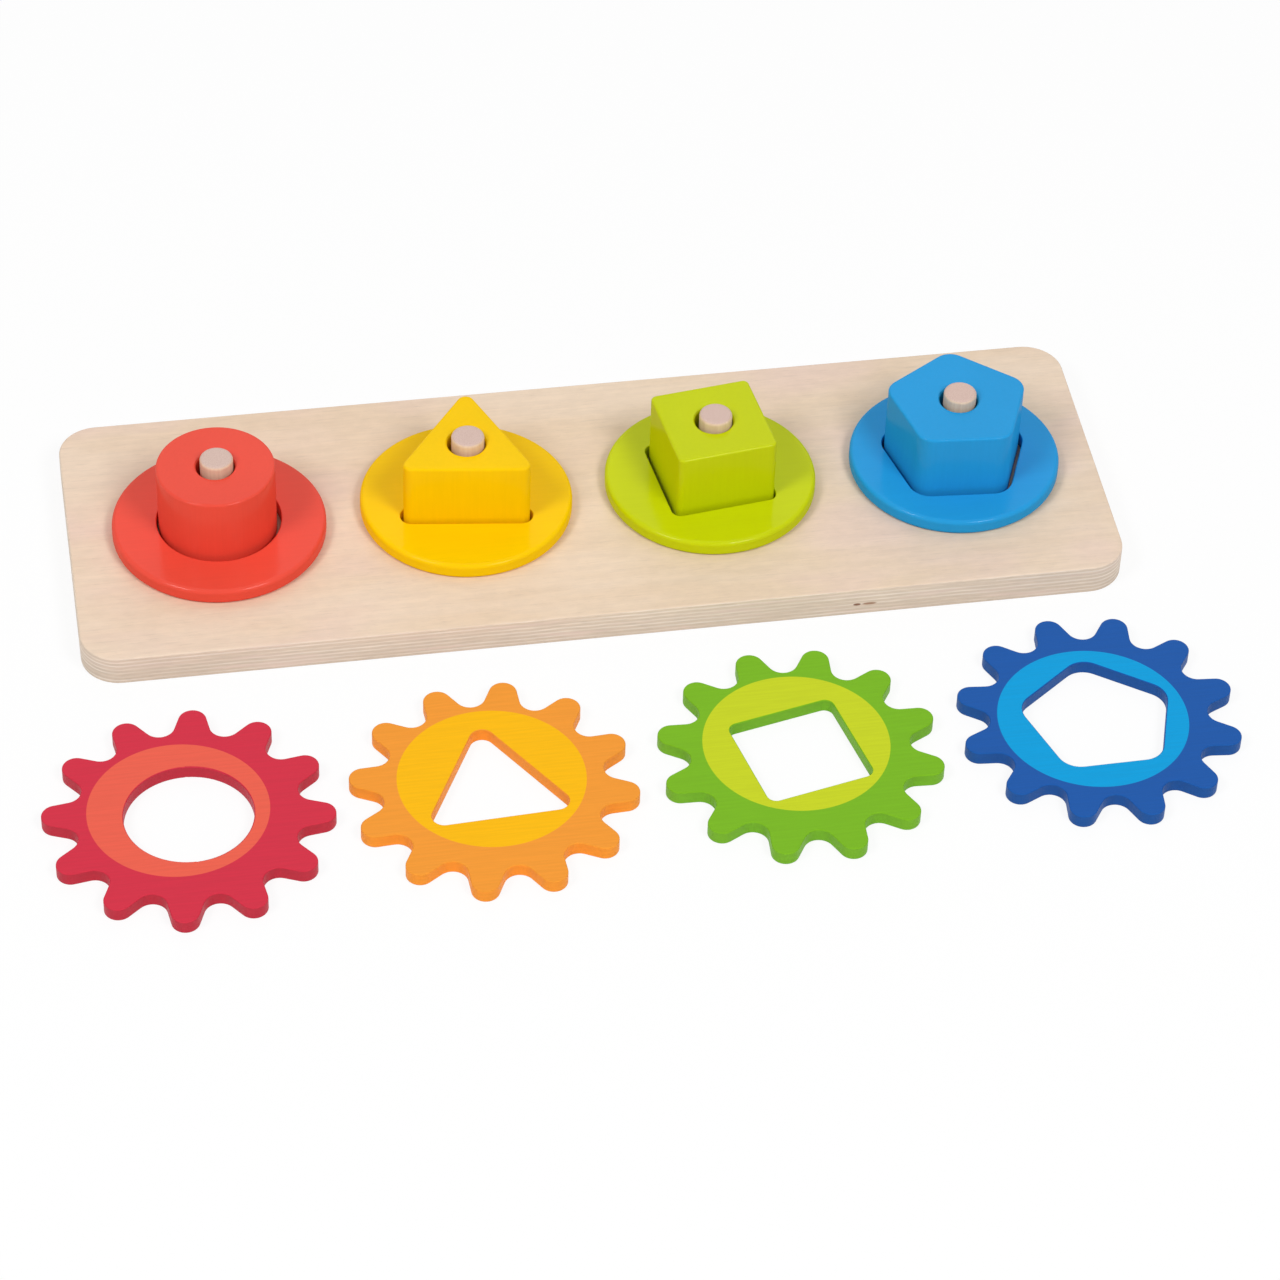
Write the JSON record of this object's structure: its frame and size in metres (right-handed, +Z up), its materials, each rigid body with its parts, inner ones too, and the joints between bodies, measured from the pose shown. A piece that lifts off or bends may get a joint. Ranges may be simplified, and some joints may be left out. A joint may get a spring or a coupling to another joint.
{
  "type": "gear and shape board toy",
  "caption": "Wooden board with pegs that carry turning shaped blocks and spacer discs, with loose toothed gears whose holes fit the blocks.",
  "frame": {"origin": "centre of the board's underside, on the surface that it rests on", "axes": "+X along the board, from the round block's end to the pentagon block's end; +Y across the board, away from the loose gears; +Z up"},
  "size_m": [0.4224, 0.2472, 0.0466],
  "materials": {
    "plywood": "pale birch plywood under a thin clear satin lacquer",
    "peg_wood": "plain sanded beech dowel",
    "red_block_paint": "wood under satin red toy paint",
    "yellow_block_paint": "wood under satin yellow toy paint",
    "lime_block_paint": "wood under satin lime green toy paint",
    "sky_block_paint": "wood under satin sky blue toy paint",
    "red_gear_paint": "wood under satin red toy paint, with a lighter printed circle",
    "orange_gear_paint": "wood under satin orange toy paint, with a yellow printed circle",
    "green_gear_paint": "wood under satin green toy paint, with a lime printed circle",
    "blue_gear_paint": "wood under satin blue toy paint, with a sky blue printed circle"
  },
  "bodies": {
    "board": {"base_board": "plywood", "peg_round": "peg_wood", "peg_triangle": "peg_wood", "peg_square": "peg_wood", "peg_pentagon": "peg_wood"},
    "block_round": {"block_round": "red_block_paint"},
    "disc_round": {"disc_round": "red_block_paint"},
    "gear_round": {"gear_round": "red_gear_paint"},
    "block_triangle": {"block_triangle": "yellow_block_paint"},
    "disc_triangle": {"disc_triangle": "yellow_block_paint"},
    "gear_triangle": {"gear_triangle": "orange_gear_paint"},
    "block_square": {"block_square": "lime_block_paint"},
    "disc_square": {"disc_square": "lime_block_paint"},
    "gear_square": {"gear_square": "green_gear_paint"},
    "block_pentagon": {"block_pentagon": "sky_block_paint"},
    "disc_pentagon": {"disc_pentagon": "sky_block_paint"},
    "gear_pentagon": {"gear_pentagon": "blue_gear_paint"}
  },
  "joints": [
    {"name": "block_round_turn", "type": "hinge", "parent": "board", "child": "block_round", "pos_m": [-0.1353, 0.0008, 0.012], "axis": [0, 0, 1], "continuous": true},
    {"name": "disc_round_lift", "type": "slide", "parent": "block_round", "child": "disc_round", "axis": [0, 0, 1], "range_m": [0, 0.045]},
    {"name": "block_triangle_turn", "type": "hinge", "parent": "board", "child": "block_triangle", "pos_m": [-0.0443, 0.0008, 0.012], "axis": [0, 0, 1], "continuous": true},
    {"name": "disc_triangle_lift", "type": "slide", "parent": "block_triangle", "child": "disc_triangle", "axis": [0, 0, 1], "range_m": [0, 0.045]},
    {"name": "block_square_turn", "type": "hinge", "parent": "board", "child": "block_square", "pos_m": [0.0467, 0.0008, 0.012], "axis": [0, 0, 1], "continuous": true},
    {"name": "disc_square_lift", "type": "slide", "parent": "block_square", "child": "disc_square", "axis": [0, 0, 1], "range_m": [0, 0.045]},
    {"name": "block_pentagon_turn", "type": "hinge", "parent": "board", "child": "block_pentagon", "pos_m": [0.1377, 0.0008, 0.012], "axis": [0, 0, 1], "continuous": true},
    {"name": "disc_pentagon_lift", "type": "slide", "parent": "block_pentagon", "child": "disc_pentagon", "axis": [0, 0, 1], "range_m": [0, 0.045]},
    {"name": "gear_round_lift", "type": "slide", "parent": "board", "child": "gear_round", "axis": [0, 0, 1], "range_m": [0, 0.06]},
    {"name": "gear_triangle_lift", "type": "slide", "parent": "board", "child": "gear_triangle", "axis": [0, 0, 1], "range_m": [0, 0.06]},
    {"name": "gear_square_lift", "type": "slide", "parent": "board", "child": "gear_square", "axis": [0, 0, 1], "range_m": [0, 0.06]},
    {"name": "gear_pentagon_lift", "type": "slide", "parent": "board", "child": "gear_pentagon", "axis": [0, 0, 1], "range_m": [0, 0.06]}
  ]
}
